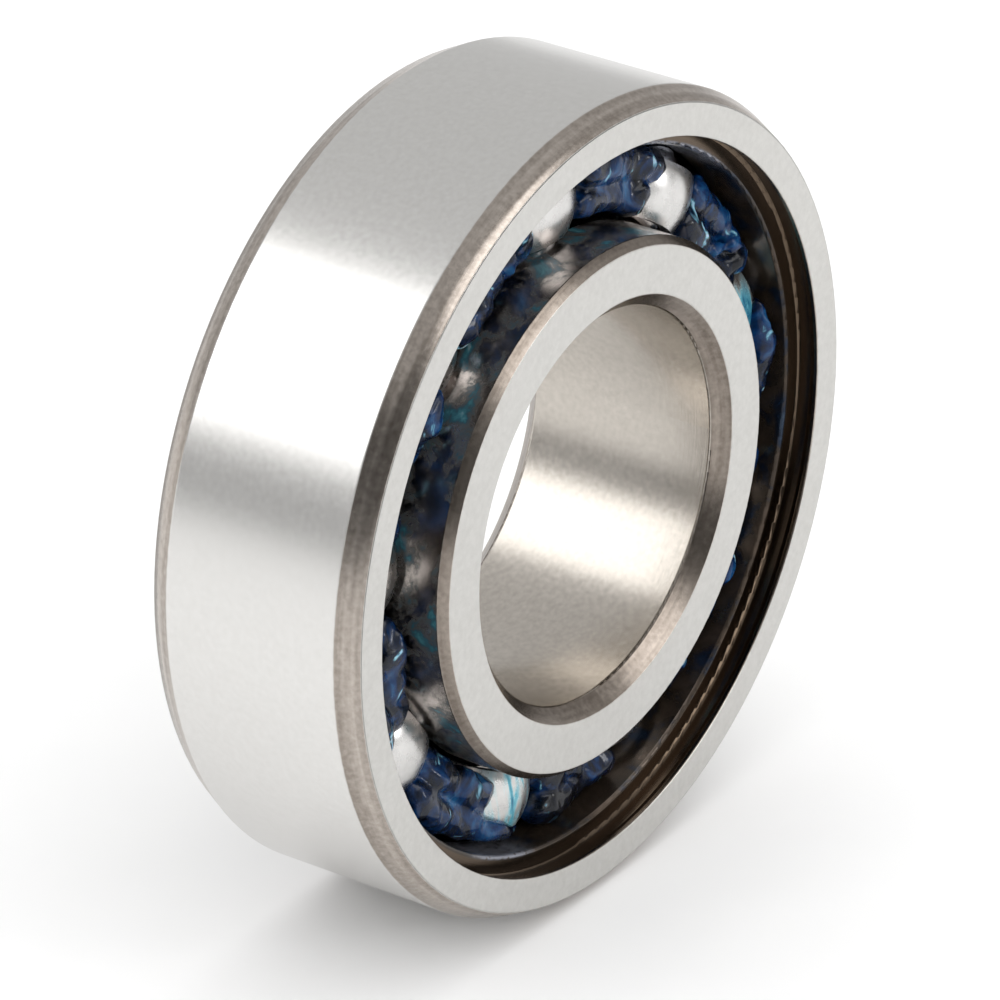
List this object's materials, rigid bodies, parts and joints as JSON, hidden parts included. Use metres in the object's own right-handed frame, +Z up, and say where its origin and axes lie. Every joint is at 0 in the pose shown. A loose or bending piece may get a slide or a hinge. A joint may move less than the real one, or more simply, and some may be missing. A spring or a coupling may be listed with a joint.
{
  "type": "ball bearing",
  "caption": "Deep groove ball bearing standing on its rim, open on one side with the balls and blue grease showing, sealed on the other.",
  "frame": {"origin": "centre of the bearing, on its axis, halfway between the side faces", "axes": "+Y along the bearing axis towards the sealed side, -Y is the open side, +Z up with the bearing standing on its rim"},
  "size_m": [0.052, 0.015, 0.052],
  "materials": {
    "ring_steel": "ground satin",
    "ball_steel": "polished",
    "cage_steel": "pressed sheet, satin",
    "rivet_steel": "satin",
    "seal_rubber": "moulded matt",
    "insert_steel": "bright sheet",
    "grease": "wet gloss"
  },
  "bodies": {
    "outer": {"outer_ring": "ring_steel", "seal_rubber": "seal_rubber", "seal_insert": "insert_steel"},
    "inner": {"inner_ring": "ring_steel"},
    "cage": {"cage_front": "cage_steel", "cage_rear": "cage_steel", "rivet_1": "rivet_steel", "rivet_2": "rivet_steel", "rivet_3": "rivet_steel", "rivet_4": "rivet_steel", "rivet_5": "rivet_steel", "rivet_6": "rivet_steel", "rivet_7": "rivet_steel", "rivet_8": "rivet_steel", "rivet_9": "rivet_steel", "grease_front_1": "grease", "grease_front_2": "grease", "grease_front_3": "grease", "grease_front_4": "grease", "grease_front_5": "grease", "grease_front_6": "grease", "grease_front_7": "grease", "grease_front_8": "grease", "grease_front_9": "grease", "grease_rear_1": "grease", "grease_rear_2": "grease", "grease_rear_3": "grease", "grease_rear_4": "grease", "grease_rear_5": "grease", "grease_rear_6": "grease", "grease_rear_7": "grease", "grease_rear_8": "grease", "grease_rear_9": "grease"},
    "ball_1_body": {"ball_1": "ball_steel"},
    "ball_2_body": {"ball_2": "ball_steel"},
    "ball_3_body": {"ball_3": "ball_steel"},
    "ball_4_body": {"ball_4": "ball_steel"},
    "ball_5_body": {"ball_5": "ball_steel"},
    "ball_6_body": {"ball_6": "ball_steel"},
    "ball_7_body": {"ball_7": "ball_steel"},
    "ball_8_body": {"ball_8": "ball_steel"},
    "ball_9_body": {"ball_9": "ball_steel"}
  },
  "joints": [
    {"name": "inner_spin", "type": "hinge", "parent": "outer", "child": "inner", "pos_m": [0, 0, 0], "axis": [0, 1, 0], "continuous": true},
    {"name": "cage_spin", "type": "hinge", "parent": "outer", "child": "cage", "pos_m": [0, 0, 0], "axis": [0, 1, 0], "continuous": true},
    {"name": "ball_1_spin", "type": "hinge", "parent": "cage", "child": "ball_1_body", "pos_m": [-0.00101, 0, 0.01922], "axis": [0, 1, 0], "continuous": true},
    {"name": "ball_2_spin", "type": "hinge", "parent": "cage", "child": "ball_2_body", "pos_m": [0.01158, 0, 0.01537], "axis": [0, 1, 0], "continuous": true},
    {"name": "ball_3_spin", "type": "hinge", "parent": "cage", "child": "ball_3_body", "pos_m": [0.01876, 0, 0.00433], "axis": [0, 1, 0], "continuous": true},
    {"name": "ball_4_spin", "type": "hinge", "parent": "cage", "child": "ball_4_body", "pos_m": [0.01715, 0, -0.00874], "axis": [0, 1, 0], "continuous": true},
    {"name": "ball_5_spin", "type": "hinge", "parent": "cage", "child": "ball_5_body", "pos_m": [0.00752, 0, -0.01772], "axis": [0, 1, 0], "continuous": true},
    {"name": "ball_6_spin", "type": "hinge", "parent": "cage", "child": "ball_6_body", "pos_m": [-0.00563, 0, -0.01841], "axis": [0, 1, 0], "continuous": true},
    {"name": "ball_7_spin", "type": "hinge", "parent": "cage", "child": "ball_7_body", "pos_m": [-0.01614, 0, -0.01048], "axis": [0, 1, 0], "continuous": true},
    {"name": "ball_8_spin", "type": "hinge", "parent": "cage", "child": "ball_8_body", "pos_m": [-0.01911, 0, 0.00235], "axis": [0, 1, 0], "continuous": true},
    {"name": "ball_9_spin", "type": "hinge", "parent": "cage", "child": "ball_9_body", "pos_m": [-0.01313, 0, 0.01408], "axis": [0, 1, 0], "continuous": true}
  ],
  "couplings": [
    {"joint": "cage_spin", "follows": "inner_spin", "ratio": 0.39691},
    {"joint": "ball_1_spin", "follows": "inner_spin", "ratio": -2.322},
    {"joint": "ball_2_spin", "follows": "inner_spin", "ratio": -2.322},
    {"joint": "ball_3_spin", "follows": "inner_spin", "ratio": -2.322},
    {"joint": "ball_4_spin", "follows": "inner_spin", "ratio": -2.322},
    {"joint": "ball_5_spin", "follows": "inner_spin", "ratio": -2.322},
    {"joint": "ball_6_spin", "follows": "inner_spin", "ratio": -2.322},
    {"joint": "ball_7_spin", "follows": "inner_spin", "ratio": -2.322},
    {"joint": "ball_8_spin", "follows": "inner_spin", "ratio": -2.322},
    {"joint": "ball_9_spin", "follows": "inner_spin", "ratio": -2.322}
  ]
}
